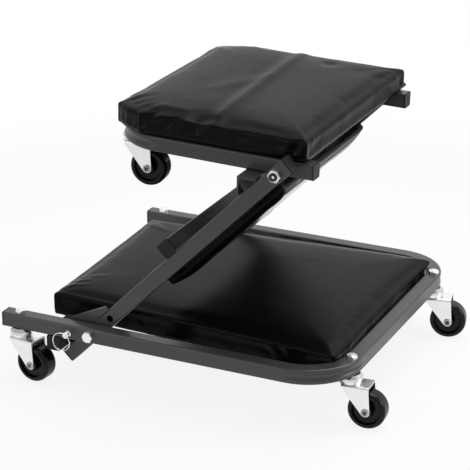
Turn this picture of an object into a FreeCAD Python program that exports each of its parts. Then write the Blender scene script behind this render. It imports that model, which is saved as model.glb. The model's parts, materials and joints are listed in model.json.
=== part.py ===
import FreeCAD, Part
import math
import os

# A folding creeper seat. A low wheeled base frame carries two leaning links, and the links carry
# a padded seat on a second wheeled frame. Folded up it is a stool, shaped like a Z from the side.
# Swung open, the base, the middle pad between the links and the seat make one long flat creeper.
# All lengths are in millimetres and angles in degrees.
# The working frame has its origin on the axis that joins the links to the base rails, half way
# across the width. X runs along the rails to the closed end, Y across, Z up.

# Square tube that every frame is made of, and how it is bent
tube = 20.0
tube_wall = 1.5
tube_corner = 2.5
bend_radius = 65.0
crush_depth = 2.4
crush_radius = 7.5

# Base frame
base_width = 430.0
base_tail = 128.0
base_reach = 348.0

# Links between the base and the seat
link_length = 356.0
link_angle = 45.0
link_top_end = 22.0
link_foot_end = 62.0

# Seat frame, on its own axes with the origin on the upper pivot
seat_tilt = 1.6
seat_tail = 35.5
seat_reach = 249.0

# Pivots: bolts, washers and locking nuts
pivot_bolt_radius = 5.0
pivot_fit = 0.05
pivot_washer = 1.0
pivot_washer_radius = 10.0
pivot_spacer = 7.0
pivot_spacer_radius = 8.0
bolt_flats = 16.0
bolt_head = 6.0
bolt_end = 1.5
nut_height = 8.0
nut_chamfer = 1.2
nylon_radius = 6.6
nylon_height = 1.6
rest_gap = 0.3

# Cross pieces that the links stop against, and the tube that ties the links
stop_angle_leg = 25.0
stop_angle_sheet = 2.5
tie_along = 156.0

# Lock pins, their pull rings and the plates that they lock into
lock_radius = 28.3
pin_radius = 4.0
pin_fit = 0.08
pin_travel = 6.0
pin_neck_radius = 2.6
pin_ball_radius = 4.2
lock_hole_radius = 4.7
ring_radius = 12.2
ring_wire = 0.8
ring_slack = 0.4
ring_lean = 34.0
gusset_sheet = 4.0
gusset_corner = 3.0

# End caps pressed into the open tube ends
cap_flange = 2.0
cap_plug = 12.0
cap_clearance = 0.1

# Flat straps that carry the boards
strap_sheet = 3.0
strap_width = 30.0
base_strap_middle = 92.0
base_strap_bend_gap = 3.0
link_strap_low_inset = 25.0
link_strap_high_inset = 37.0

# Padded boards
board_sheet = 6.0
vinyl_wrap = 3.0
pad_draw = 3.0
base_pad_tail_gap = 38.0
base_pad_end_gap = 2.0
base_pad_bolt_gap = 15.2
base_pad_side_gap = 29.0
base_pad_height = 34.0
base_pad_corner_left = 16.0
base_pad_corner_right = 46.0
middle_pad_low = 95.0
middle_pad_top_gap = 39.0
middle_pad_side_gap = 40.0
middle_pad_height = 31.0
middle_pad_corner = 16.0
seat_pad_end_gap = 6.0
seat_pad_tail_gap = 7.5
seat_pad_height = 36.0
seat_pad_corner_long = 44.0
seat_pad_corner_short = 26.0
seat_pad_corner_right = 12.0

# Screws that hold the boards
screw_radius = 2.0
screw_head_radius = 4.0
screw_head = 2.0
screw_bite = 5.0
seat_screw_front = 20.0
seat_screw_back = 150.0
seat_screw_inset = 4.0

# Casters
caster_tail_gap = 21.0
caster_inset = 55.0
caster_nut_flats = 15.0
caster_nut_height = 7.0
nut_pocket_gap = 1.5
stem_radius = 5.0
stem_end = 1.5
stem_head_radius = 8.0
stem_head = 3.6
race_radius = 15.0
race_neck_radius = 11.5
race_sheet = 1.8
race_depth = 7.6
race_slope = 4.0
fork_drop = 12.0
fork_sheet = 2.0
fork_half_width = 15.0
fork_front = 9.0
fork_back = 27.0
fork_bend = 3.0
fork_toe_radius = 6.0
wheel_trail = 23.0
wheel_drop = 45.5
wheel_radius = 25.0
wheel_width = 20.0
wheel_round = 5.0
wheel_dish_depth = 3.4
wheel_dish_outer = 18.5
wheel_dish_inner = 9.5
wheel_hub_gap = 0.5
axle_radius = 4.0
axle_head_radius = 5.2
axle_head = 1.6
axle_dimple_radius = 2.6
axle_dimple = 1.0

# Overrun of every cut past the faces that it goes through
over = 5.0

# A cushion's outline from its underside up: share of the height, inset as a share of the height
pad_profile_shares = (
    (0.00, 0.13),
    (0.14, 0.03),
    (0.38, 0.00),
    (0.62, 0.04),
    (0.78, 0.15),
    (0.88, 0.36),
    (0.945, 0.85),
    (0.98, 1.60),
    (1.00, 2.70),
)
# How far a corner bulges from its chord towards the sharp corner
round_corner_share = 0.414
cut_corner_share = 0.22
# The plate by the lower pivot, in shares of the lock pin's distance, from the link's face round
gusset_face_shares = (1.24, -1.02)
gusset_shares = ((1.20, 0.56), (0.35, 0.88), (-0.35, 1.13), (-0.74, 1.27), (-1.24, 0.80))

# Places that follow from the sizes above
half = tube / 2
base_half = base_width / 2
rail_y = base_half - half
link_outer = base_half - tube - pivot_washer
link_inner = link_outer - tube
link_y = link_outer - half
seat_half = link_inner - pivot_spacer
seat_rail_y = seat_half - half
angle = math.radians(link_angle)
top_x = link_length * math.cos(angle)
top_z = link_length * math.sin(angle)
board_floor = strap_sheet - half
base_pad_left = base_tail - base_pad_tail_gap
base_pad_right = base_reach - tube - base_pad_end_gap
base_pad_half_left = link_inner - rest_gap - nut_height - bolt_end - base_pad_bolt_gap
base_pad_half_right = base_half - tube - base_pad_side_gap
base_strap_end = base_reach - half - bend_radius - base_strap_bend_gap - strap_width / 2
middle_pad_high = link_length - middle_pad_top_gap
middle_pad_half = link_inner - middle_pad_side_gap
link_strap_low = middle_pad_low + link_strap_low_inset
link_strap_high = middle_pad_high - link_strap_high_inset
seat_pad_left = seat_reach - seat_pad_end_gap
seat_pad_right = seat_tail - seat_pad_tail_gap

ORIGIN = FreeCAD.Vector(0, 0, 0)
X_AXIS = FreeCAD.Vector(1, 0, 0)
Y_AXIS = FreeCAD.Vector(0, 1, 0)
Z_AXIS = FreeCAD.Vector(0, 0, 1)


def point(x, y, z):
    return FreeCAD.Vector(x, y, z)


def moved(shape, x=0.0, y=0.0, z=0.0):
    """A copy of the shape, shifted."""
    copy = shape.copy()
    copy.translate(point(x, y, z))
    return copy


def turned(shape, axis, degrees):
    """A copy of the shape, turned about an axis through the origin."""
    copy = shape.copy()
    copy.rotate(ORIGIN, axis, degrees)
    return copy


def both_sides(shape):
    """The shape and its mirror image on the other side of the middle plane."""
    return [shape, shape.mirror(ORIGIN, Y_AXIS)]


def square_wire(side, corner):
    """Rounded square across the X axis."""
    reach = side / 2
    flat = reach - corner
    bow = flat + corner * math.sqrt(0.5)
    edges = []
    for turn in range(4):
        cosine, sine = ((1, 0), (0, 1), (-1, 0), (0, -1))[turn]
        corners = [(reach, -flat), (reach, flat), (bow, bow), (flat, reach)]
        start, end, mid, stop = [point(0, cosine * y - sine * z, sine * y + cosine * z)
                                 for y, z in corners]
        edges.append(Part.makeLine(start, end))
        edges.append(Part.Arc(end, mid, stop).toShape())
    return Part.Wire(edges)


def bar(wire, start, end):
    """Solid bar with the given section, along X."""
    solid = Part.Face(wire).extrude(point(end - start, 0, 0))
    return moved(solid, x=start)


def square_tube(start, end):
    """Straight piece of tube along X."""
    outside = bar(square_wire(tube, tube_corner), start, end)
    inside = bar(square_wire(tube - 2 * tube_wall, tube_corner - tube_wall), start, end)
    return outside.cut(inside)


def drill(shape, x, z, radius, reach):
    """Hole along Y through the whole width."""
    length = 2 * (reach + over)
    cutter = Part.makeCylinder(radius, length, point(x, -length / 2, z), Y_AXIS)
    return shape.cut(cutter)


def drill_down(shape, x, y, radius, depth):
    """Hole along Z, centred on the mid height of the tube."""
    length = 2 * (depth + over)
    cutter = Part.makeCylinder(radius, length, point(x, y, -length / 2), Z_AXIS)
    return shape.cut(cutter)


def ring_solid(outline, axis=Z_AXIS):
    """Solid turned about Z from (radius, height) points, then stood along the given axis."""
    corners = [point(radius, 0, height) for radius, height in outline]
    face = Part.Face(Part.makePolygon(corners + corners[:1]))
    solid = face.revolve(ORIGIN, Z_AXIS, 360)
    if axis == Y_AXIS:
        solid = turned(solid, X_AXIS, -90)
    return solid


def hexagon(flats, height, bore):
    """Hexagonal nut or bolt head along Z from zero, with its outer corners chamfered."""
    corner = flats / math.sqrt(3)
    corners = [point(corner * math.cos(math.radians(60 * step)),
                     corner * math.sin(math.radians(60 * step)), 0) for step in range(7)]
    prism = Part.Face(Part.makePolygon(corners)).extrude(point(0, 0, height))
    slope = nut_chamfer * math.tan(math.radians(30))
    rounding = ring_solid([(0, 0), (corner, 0), (corner, height - slope),
                           (corner - nut_chamfer, height), (0, height)])
    head = prism.common(rounding)
    if bore:
        head = head.cut(Part.makeCylinder(bore, height + 2 * over, point(0, 0, -over)))
    return head


def bend_shell(side, corner, groove, sign):
    """Quarter bend about the origin, with the outer face pressed in along the middle of the bend."""
    face = Part.Face(square_wire(side, corner))
    face.translate(point(0, sign * bend_radius, 0))
    solid = face.revolve(ORIGIN, point(0, 0, -sign), 90)
    fade = math.cos(math.radians(45))
    shift = crush_depth / (1 - fade)
    middle = point(-shift * fade, -sign * shift * fade, 0)
    major = bend_radius + half + crush_radius - crush_depth + shift
    return solid.cut(Part.makeTorus(major, groove, middle, Z_AXIS))


def bent_frame(length, width):
    """U of tube with its open ends at x = 0 and the outer face of its closed end at x = length."""
    bend_x = length - half - bend_radius
    side_y = width / 2 - half
    bend_y = side_y - bend_radius
    shells = []
    for side, corner, groove in ((tube, tube_corner, crush_radius),
                                 (tube - 2 * tube_wall, tube_corner - tube_wall,
                                  crush_radius + tube_wall)):
        wire = square_wire(side, corner)
        rail = bar(wire, 0, bend_x)
        end = turned(bar(wire, -bend_y, bend_y), Z_AXIS, 90)
        pieces = [moved(end, x=length - half)]
        for sign in (-1, 1):
            pieces.append(moved(rail, y=sign * side_y))
            pieces.append(moved(bend_shell(side, corner, groove, sign), x=bend_x, y=sign * bend_y))
        shells.append(pieces[0].multiFuse(pieces[1:]))
    return shells[0].cut(shells[1])


def end_cap():
    """Plastic cap for a tube end at x = 0, with its flange on the left."""
    plug_side = tube - 2 * tube_wall - 2 * cap_clearance
    flange = bar(square_wire(tube, tube_corner), -cap_flange, 0)
    plug = bar(square_wire(plug_side, tube_corner - tube_wall), 0, cap_plug)
    return flange.fuse(plug)


def capped_ends(start, end):
    """Caps for both ends of a straight tube along X."""
    return [moved(end_cap(), x=start), moved(turned(end_cap(), Z_AXIS, 180), x=end)]


def pad_wire(left, right, half_left, half_right, cut_left, cut_right, bow, inset, z):
    """Outline of a pad at one height: slightly drawn-in sides between rounded corners."""
    shrink = (half_right - inset) / half_right
    x0 = left + inset
    x1 = right - inset
    y0 = half_left - inset
    y1 = half_right - inset
    long_left, short_left = cut_left[0] * shrink, cut_left[1] * shrink
    long_right, short_right = cut_right[0] * shrink, cut_right[1] * shrink
    slope = (y1 - y0) / (x1 - x0)
    draw = pad_draw * shrink
    sharp = [(x0, y0), (x1, y1)]
    side_start = (x0 + long_left, y0 + slope * long_left)
    side_end = (x1 - long_right, y1 - slope * long_right)
    side_mid = ((side_start[0] + side_end[0]) / 2, (side_start[1] + side_end[1]) / 2 - draw)
    left_end = (x0, y0 - short_left)
    right_end = (x1, y1 - short_right)

    def corner_mid(start, end, tip, share):
        middle = ((start[0] + end[0]) / 2, (start[1] + end[1]) / 2)
        return (middle[0] + share * (tip[0] - middle[0]), middle[1] + share * (tip[1] - middle[1]))

    left_mid = corner_mid(left_end, side_start, sharp[0], bow)
    right_mid = corner_mid(side_end, right_end, sharp[1], round_corner_share)
    arcs = [
        (left_end, left_mid, side_start, 1),
        (side_start, side_mid, side_end, 1),
        (side_end, right_mid, right_end, 1),
        (right_end, (x1 - draw, 0), (right_end[0], -right_end[1]), 1),
        (right_end, right_mid, side_end, -1),
        (side_end, side_mid, side_start, -1),
        (side_start, left_mid, left_end, -1),
        ((left_end[0], -left_end[1]), (x0 + draw, 0), left_end, 1),
    ]
    edges = []
    for start, mid, stop, sign in arcs:
        ends = [point(x, sign * y, z) for x, y in (start, mid, stop)]
        edges.append(Part.Arc(*ends).toShape())
    return Part.Wire(edges)


def pad(sizes, floor, height):
    """Board and cushion: the cushion is crowned and wraps round the edge of the board."""
    wires = []
    for up, inset in pad_profile_shares:
        wires.append(pad_wire(*sizes, inset * height, floor + up * height))
    cushion = Part.makeLoft(wires, True, True)
    board_inset = pad_profile_shares[0][1] * height + vinyl_wrap
    board = Part.Face(pad_wire(*sizes, board_inset, floor)).extrude(point(0, 0, board_sheet))
    return board, cushion.cut(board)


def screw(x, y, face, length):
    """Pan-head screw pointing up, with the underside of its head against the given height."""
    outline = [(0, -screw_head), (screw_head_radius - screw_head / 2, -screw_head),
               (screw_head_radius, -screw_head / 2), (screw_head_radius, 0), (screw_radius, 0),
               (screw_radius, length - screw_radius), (0, length)]
    return moved(ring_solid(outline), x, y, face)


def screw_holes(shape, places, face, length):
    """The same screws' holes cut from a strap, rail or board."""
    for x, y in places:
        cutter = ring_solid([(0, -over), (screw_radius, -over),
                             (screw_radius, length - screw_radius), (0, length)])
        shape = shape.cut(moved(cutter, x, y, face))
    return shape


def strap(x, reach, floor):
    """Flat strap across the frame, centred on x."""
    return Part.makeBox(strap_width, 2 * reach, strap_sheet,
                        point(x - strap_width / 2, -reach, floor))


def caster_stem():
    """King pin from the head under the fork to its end above the nut; zero is the rail's underside."""
    low = -fork_drop - fork_sheet - rest_gap
    top = tube + caster_nut_height + stem_end
    return ring_solid([(0, low - stem_head), (stem_head_radius - stem_head / 2, low - stem_head),
                       (stem_head_radius, low - stem_head / 2), (stem_head_radius, low),
                       (stem_radius, low), (stem_radius, top - stem_end / 2),
                       (stem_radius - stem_end / 2, top), (0, top)])


def caster_race():
    """Upper bearing cup, a flared dish against the rail's underside."""
    return ring_solid([(stem_radius, 0), (race_neck_radius, 0), (race_radius, -race_slope),
                       (race_radius, -race_depth), (race_radius - race_sheet, -race_depth),
                       (race_radius - race_sheet, -race_slope - race_sheet / 2),
                       (race_neck_radius - race_sheet / 2, -race_sheet), (stem_radius, -race_sheet)])


def tangent_point(x, z, side):
    """Where a line from (x, z) touches the rounded toe of the fork, on the given side."""
    to_x = x - wheel_trail
    to_z = z + wheel_drop
    away = math.hypot(to_x, to_z)
    lean = math.acos(fork_toe_radius / away)
    bearing = math.atan2(to_z, to_x) + side * lean
    return (wheel_trail + fork_toe_radius * math.cos(bearing),
            -wheel_drop + fork_toe_radius * math.sin(bearing))


def caster_fork():
    """Pressed fork: a folded channel with tapering legs, a rounded front lip and a raised race."""
    plate = -fork_drop
    outer, inner = [], []
    drop = wheel_drop + fork_toe_radius + over
    for reach, top, round_off in ((fork_half_width, plate, fork_bend),
                                  (fork_half_width - fork_sheet, plate - fork_sheet,
                                   fork_bend - fork_sheet)):
        shoulder = round_off * (1 - math.sqrt(0.5))
        side = [point(0, reach, -drop), point(0, reach, top - round_off)]
        lip = point(0, reach - round_off, top)
        arcs = [Part.makeLine(side[0], side[1]),
                Part.Arc(side[1], point(0, reach - shoulder, top - shoulder), lip).toShape(),
                Part.makeLine(lip, point(0, -lip.y, top)),
                Part.Arc(point(0, -lip.y, top), point(0, shoulder - reach, top - shoulder),
                         point(0, -reach, top - round_off)).toShape(),
                Part.makeLine(point(0, -reach, top - round_off), point(0, -reach, -drop)),
                Part.makeLine(point(0, -reach, -drop), side[0])]
        (outer if top == plate else inner).extend(arcs)
    channel = bar(Part.Wire(outer), -fork_front, fork_back + fork_toe_radius)
    channel = channel.cut(bar(Part.Wire(inner), -fork_front - over, fork_back + 2 * over))

    front = tangent_point(-fork_front, plate - fork_bend, 1)
    back = tangent_point(fork_back, plate - fork_bend, -1)
    toe = (wheel_trail, -wheel_drop - fork_toe_radius)
    side_view = [(-fork_front, plate), (fork_back, plate), (fork_back, plate - fork_bend), back]
    corners = [point(x, 0, z) for x, z in side_view]
    edges = [Part.makeLine(a, b) for a, b in zip(corners, corners[1:])]
    edges.append(Part.Arc(point(back[0], 0, back[1]), point(toe[0], 0, toe[1]),
                          point(front[0], 0, front[1])).toShape())
    knee = point(-fork_front, 0, plate - fork_bend)
    edges.append(Part.makeLine(point(front[0], 0, front[1]), knee))
    edges.append(Part.makeLine(knee, corners[0]))
    legs = Part.Face(Part.Wire(edges)).extrude(point(0, 2 * fork_half_width, 0))
    fork = channel.common(moved(legs, y=-fork_half_width))

    lobe = Part.makeCylinder(fork_half_width, fork_sheet, point(0, 0, plate - fork_sheet))
    keep = Part.makeBox(fork_half_width, 2 * fork_half_width, fork_drop,
                        point(-fork_front - fork_half_width, -fork_half_width, plate - fork_drop / 2))
    raised = race_radius - race_sheet - 2 * rest_gap
    lift = race_neck_radius - race_sheet / 2 - 2 * rest_gap
    race = ring_solid([(0, plate - fork_sheet / 2), (raised, plate - fork_sheet / 2),
                       (raised, -race_slope - race_sheet / 2 - rest_gap),
                       (lift, -race_sheet - rest_gap), (0, -race_sheet - rest_gap)])
    fork = fork.fuse([lobe.common(keep), race])
    bore = Part.makeCylinder(stem_radius + pivot_fit, fork_drop + 2 * over,
                             point(0, 0, plate - fork_sheet - over))
    hole = Part.makeCylinder(axle_radius, 2 * fork_half_width + 2 * over,
                             point(wheel_trail, -fork_half_width - over, -wheel_drop), Y_AXIS)
    return fork.cut([bore, hole])


def caster_axle():
    """Riveted axle with a dimple in each end."""
    reach = fork_half_width
    end = reach + axle_head
    upper = [(axle_radius, reach), (axle_head_radius, reach),
             (axle_head_radius, end - axle_head / 2), (axle_head_radius - axle_head / 2, end),
             (axle_dimple_radius, end), (axle_dimple_radius - axle_dimple, end - axle_dimple)]
    outline = [(0, axle_dimple - end)]
    outline += [(radius, -height) for radius, height in reversed(upper)]
    outline += upper + [(0, end - axle_dimple)]
    return moved(ring_solid(outline, Y_AXIS), wheel_trail, 0, -wheel_drop)


def caster_wheel():
    """Wheel with a rounded tread, a dished ring in each side and a raised hub."""
    reach = wheel_width / 2
    hub = fork_half_width - fork_sheet - wheel_hub_gap
    slope = wheel_dish_depth / 2
    bore = axle_radius + pivot_fit
    corner = wheel_radius - wheel_round
    soft = wheel_round * math.sqrt(0.5)
    half_side = [(bore, hub), (wheel_dish_inner - slope, hub),
                 (wheel_dish_inner, reach - wheel_dish_depth),
                 (wheel_dish_outer - slope, reach - wheel_dish_depth), (wheel_dish_outer, reach)]
    down = [point(radius, 0, height) for radius, height in half_side + [(corner, reach)]]
    up = [point(place.x, 0, -place.z) for place in reversed(down)]
    edges = [Part.makeLine(a, b) for a, b in zip(down, down[1:])]
    tread_top = point(wheel_radius, 0, reach - wheel_round)
    tread_low = point(wheel_radius, 0, wheel_round - reach)
    edges.append(Part.Arc(down[-1], point(corner + soft, 0, reach - wheel_round + soft),
                          tread_top).toShape())
    edges.append(Part.makeLine(tread_top, tread_low))
    edges.append(Part.Arc(tread_low, point(corner + soft, 0, wheel_round - reach - soft),
                          up[0]).toShape())
    edges += [Part.makeLine(a, b) for a, b in zip(up, up[1:])]
    edges.append(Part.makeLine(up[-1], down[0]))
    solid = Part.Face(Part.Wire(edges)).revolve(ORIGIN, Z_AXIS, 360)
    return moved(turned(solid, X_AXIS, -90), wheel_trail, 0, -wheel_drop)


# Every caster: name, carrying frame, place on its rail and how far the fork has turned at rest
base_end_x = base_reach - half
base_end_y = rail_y - caster_inset
base_tail_x = caster_tail_gap - base_tail
seat_end_x = half - seat_reach
seat_end_y = seat_rail_y - caster_inset
casters = (
    ("front_near", "base", base_end_x, -base_end_y, 4.0),
    ("front_far", "base", base_end_x, base_end_y, 13.0),
    ("rear_near", "base", base_tail_x, -rail_y, -7.0),
    ("rear_far", "base", base_tail_x, rail_y, 0.0),
    ("seat_near", "seat", seat_end_x, -seat_end_y, 5.0),
    ("seat_far", "seat", seat_end_x, seat_end_y, 0.0),
)


def on_link(shape):
    """From the link's own axes, along X with its upper face up, to its leaning place."""
    return turned(shape, Y_AXIS, -link_angle)


def on_seat(shape):
    """From the seat's own axes to its place on the upper pivot."""
    return moved(turned(shape, Y_AXIS, seat_tilt), top_x, 0, top_z)


def as_built(shape):
    return shape


def caster_nodes(frame_name):
    """All stems, nuts and cups of one frame as groups, and each caster's fork, axle and wheel."""
    stems, nuts, races, nodes = [], [], [], {}
    place = on_seat if frame_name == "seat" else as_built
    for name, carrier, x, y, yaw in casters:
        if carrier != frame_name:
            continue
        stems.append(moved(caster_stem(), x, y, -half))
        nut = moved(hexagon(caster_nut_flats, caster_nut_height, stem_radius), z=tube)
        nuts.append(moved(turned(nut, Z_AXIS, yaw), x, y, -half))
        races.append(moved(caster_race(), x, y, -half))
        for piece, solid in (("fork", caster_fork()), ("axle", caster_axle()),
                             ("wheel", caster_wheel())):
            solid = moved(turned(solid, Z_AXIS, yaw), x, y, -half)
            nodes[name + "_" + piece] = [place(solid)]
    nodes[frame_name + "_caster_stems"] = [place(solid) for solid in stems]
    nodes[frame_name + "_caster_nuts"] = [place(solid) for solid in nuts]
    nodes[frame_name + "_caster_races"] = [place(solid) for solid in races]
    return nodes


def locking_nut(bore):
    """Nut along Z from zero with a collar, and the nylon ring that sits in the collar."""
    collar_radius = bolt_flats / 2 - nut_chamfer / 2
    steel = hexagon(bolt_flats, nut_height - nylon_height, bore)
    collar = ring_solid([(nylon_radius, nut_height - nylon_height - nut_chamfer),
                         (collar_radius, nut_height - nylon_height - nut_chamfer),
                         (collar_radius, nut_height - nylon_height / 2),
                         (nylon_radius, nut_height)])
    nylon = ring_solid([(bore, nut_height - nylon_height), (nylon_radius, nut_height - nylon_height),
                        (nylon_radius, nut_height - nylon_height / 4),
                        (bore, nut_height - nylon_height / 4)])
    return steel.fuse(collar), nylon


def pivot_bolt(head_face, nut_face):
    """Bolt on the near side along Y: its head outside one face, its end past the nut."""
    sign = 1 if nut_face > head_face else -1
    length = abs(nut_face - head_face) + nut_height + bolt_end
    shank = Part.makeCylinder(pivot_bolt_radius, length)
    head = turned(hexagon(bolt_flats, bolt_head, 0), X_AXIS, 180)
    bolt = head.fuse(shank)
    return moved(turned(bolt, X_AXIS, -90 * sign), y=head_face)


def pivot_nut(face, sign):
    """Steel nut and nylon ring against a face on the near side, pointing along sign times Y."""
    return [moved(turned(solid, X_AXIS, -90 * sign), y=face)
            for solid in locking_nut(pivot_bolt_radius)]


def disc(radius, start, thick):
    """Washer or spacer on the pivot bolt, along Y."""
    outline = [(pivot_bolt_radius, start), (radius, start), (radius, start + thick),
               (pivot_bolt_radius, start + thick)]
    return ring_solid(outline, Y_AXIS)


# Base stop: a cross tube under the rails whose rounded edge the feet of the links lean on
stop_edge_z = tube_corner - half - tube
stop_edge_x = (stop_edge_z * math.cos(angle) - half - rest_gap - tube_corner) / math.sin(angle)
stop_x = stop_edge_x + tube_corner - half

# Seat stop: an angle iron under the seat rails, both of whose toes lean on the links
seat_lean = math.radians(link_angle + seat_tilt)
toe_under_rail = -stop_angle_leg - (half + rest_gap + (half + stop_angle_sheet)
                                    * math.cos(seat_lean)) / math.sin(seat_lean)
toe_hanging = -stop_angle_sheet - (half + rest_gap + (half + stop_angle_leg)
                                   * math.cos(seat_lean)) / math.sin(seat_lean)
stop_angle_x = min(toe_under_rail, toe_hanging)

base_pad = (-base_pad_left, base_pad_right, base_pad_half_left, base_pad_half_right,
            (base_pad_corner_left, base_pad_corner_left),
            (base_pad_corner_right, base_pad_corner_right), round_corner_share)
middle_pad = (middle_pad_low, middle_pad_high, middle_pad_half, middle_pad_half,
              (middle_pad_corner, middle_pad_corner), (middle_pad_corner, middle_pad_corner),
              round_corner_share)
seat_pad = (-seat_pad_left, seat_pad_right, seat_half, seat_half,
            (seat_pad_corner_long, seat_pad_corner_short),
            (seat_pad_corner_right, seat_pad_corner_right), cut_corner_share)


def base_nodes():
    frame = moved(bent_frame(base_tail + base_reach, base_width), x=-base_tail)
    frame = drill(frame, 0, 0, pivot_bolt_radius, base_half)
    frame = drill(frame, -lock_radius, 0, pin_radius + pin_fit, base_half)
    for name, carrier, x, y, yaw in casters:
        if carrier == "base":
            frame = drill_down(frame, x, y, stem_radius, half)

    stop_reach = base_half - cap_flange
    stop = turned(square_tube(-stop_reach, stop_reach), Z_AXIS, 90)
    stop_caps = [moved(turned(cap, Z_AXIS, 90), x=stop_x, z=-tube)
                 for cap in capped_ends(-stop_reach, stop_reach)]
    rail_caps = [moved(end_cap(), -base_tail, sign * rail_y, 0) for sign in (-1, 1)]

    packer_reach = link_inner - pivot_washer
    places = [(stop_x, packer_reach), (base_strap_middle, base_half - tube),
              (base_strap_end, base_half - tube)]
    screws_at = [(x, sign * base_pad_half_left / 2) for x, reach in places for sign in (-1, 1)]
    straps = [screw_holes(strap(x, reach, -half), screws_at, -half, strap_sheet + screw_bite)
              for x, reach in places]
    stop = screw_holes(moved(stop, x=stop_x, z=-tube), screws_at[:2], -half - tube,
                       tube + strap_sheet + screw_bite)
    board, cushion = pad(base_pad, board_floor, base_pad_height)
    board = screw_holes(board, screws_at, -half, strap_sheet + screw_bite)
    screws = [screw(x, y, -half, strap_sheet + screw_bite) for x, y in screws_at[2:]]
    screws += [screw(x, y, -half - tube, tube + strap_sheet + screw_bite) for x, y in screws_at[:2]]

    steel, nylon = pivot_nut(-link_inner + rest_gap, 1)
    nodes = {
        "base_frame": [frame],
        "base_rail_caps": rail_caps,
        "base_stop_tube": [stop],
        "base_stop_caps": stop_caps,
        "base_straps": straps,
        "base_board": [board],
        "base_cushion": [cushion],
        "base_board_screws": screws,
        "base_pivot_bolts": both_sides(pivot_bolt(-base_half, -link_inner + rest_gap)),
        "base_pivot_washers": both_sides(disc(pivot_washer_radius, -link_outer - pivot_washer,
                                              pivot_washer)),
        "base_pivot_nuts": both_sides(steel.fuse(nylon)),
    }
    nodes.update(caster_nodes("base"))
    return nodes


def lock_nodes():
    """Lock pin and pull ring on each side, drawn back so that the nose is just clear of the link."""
    nose = -link_outer - rest_gap
    collar = -base_half - pin_travel - rest_gap
    taper = pin_radius / 4
    ball = collar - pin_ball_radius
    neck = ball + math.sqrt(pin_ball_radius ** 2 - pin_neck_radius ** 2)
    outline = [(0, nose), (pin_radius - taper, nose), (pin_radius, nose - taper),
               (pin_radius, collar + 2 * taper), (pin_neck_radius, collar + taper),
               (pin_neck_radius, neck)]
    corners = [point(radius, place, 0) for radius, place in outline]
    end = point(0, ball - pin_ball_radius, 0)
    edges = [Part.makeLine(a, b) for a, b in zip(corners, corners[1:])]
    edges.append(Part.Arc(corners[-1], point(pin_ball_radius, ball, 0), end).toShape())
    edges.append(Part.makeLine(end, corners[0]))
    pin = Part.Face(Part.Wire(edges)).revolve(ORIGIN, Y_AXIS, 360)
    pin = turned(pin, Y_AXIS, 90 + ring_lean)

    lean = math.radians(ring_lean)
    down = point(-math.sin(lean), 0, -math.cos(lean))
    across = point(math.cos(lean), 0, -math.sin(lean))
    sag = ring_radius - math.sqrt(ring_radius ** 2 - pin_ball_radius ** 2)
    hole = Part.makeCylinder(ring_wire + sag + ring_slack, 4 * pin_ball_radius,
                             point(0, ball, 0) - across * (2 * pin_ball_radius), across)
    pin = moved(pin.cut(hole), x=-lock_radius)
    ring = Part.makeTorus(ring_radius, ring_wire, point(0, ball, 0) + down * ring_radius, Y_AXIS)
    ring = moved(ring, x=-lock_radius)
    pins = both_sides(pin)
    rings = both_sides(ring)
    return {
        "lock_pin_near": [pins[0]],
        "lock_pin_far": [pins[1]],
        "pull_ring_near": [rings[0]],
        "pull_ring_far": [rings[1]],
    }


def link_nodes():
    low = -link_foot_end
    high = link_length + link_top_end
    member = square_tube(low, high)
    for along in (0, link_length):
        member = drill(member, along, 0, pivot_bolt_radius + pivot_fit, link_outer)
    member = drill(member, lock_radius, 0, lock_hole_radius, link_outer)
    ends = capped_ends(low, high)

    face = gusset_face_shares
    outline = [(face[0] * lock_radius, half)]
    outline += [(along * lock_radius, out * lock_radius) for along, out in gusset_shares]
    outline += [(face[1] * lock_radius, half)]
    corners = [point(along, -link_outer, out) for along, out in outline]
    gusset = Part.Face(Part.makePolygon(corners + corners[:1])).extrude(point(0, gusset_sheet, 0))
    soft = [edge for edge in gusset.Edges
            if edge.Vertexes[0].X == edge.Vertexes[-1].X and edge.Vertexes[0].Z == edge.Vertexes[-1].Z
            and edge.Vertexes[0].Z > half + gusset_corner]
    gusset = gusset.makeFillet(gusset_corner, soft)
    gusset = drill(gusset, -lock_radius * math.cos(angle), lock_radius * math.sin(angle),
                   lock_hole_radius, link_outer)

    tie_reach = link_outer - cap_flange
    tie = turned(square_tube(-tie_reach, tie_reach), Z_AXIS, 90)
    tie_caps = [turned(cap, Z_AXIS, 90) for cap in capped_ends(-tie_reach, tie_reach)]
    tie_x = tie_along + half
    caps = [moved(cap, y=sign * link_y) for cap in ends for sign in (-1, 1)]
    caps += [moved(cap, x=tie_x, z=tube) for cap in tie_caps]

    strap_floor = half - strap_sheet
    screws_at = [(x, sign * middle_pad_half / 2) for x in (link_strap_low, link_strap_high)
                 for sign in (-1, 1)]
    board, cushion = pad(middle_pad, -strap_floor, middle_pad_height)
    length = strap_sheet + screw_bite
    straps = [screw_holes(strap(x, link_inner, -half), screws_at, -half, length)
              for x in (link_strap_low, link_strap_high)]
    board = screw_holes(board, screws_at, -half, length)
    screws = [screw(x, y, -half, length) for x, y in screws_at]
    under = [turned(solid, X_AXIS, 180) for solid in [board, cushion] + straps + screws]
    nodes = {
        "link_near": [moved(member, y=-link_y)],
        "link_far": [moved(member, y=link_y)],
        "link_gussets": both_sides(gusset),
        "link_tie_tube": [moved(tie, x=tie_x, z=tube)],
        "link_caps": caps,
        "middle_board": under[:1],
        "middle_cushion": under[1:2],
        "middle_straps": under[2:4],
        "middle_board_screws": under[4:],
    }
    return {name: [on_link(solid) for solid in solids] for name, solids in nodes.items()}


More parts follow.
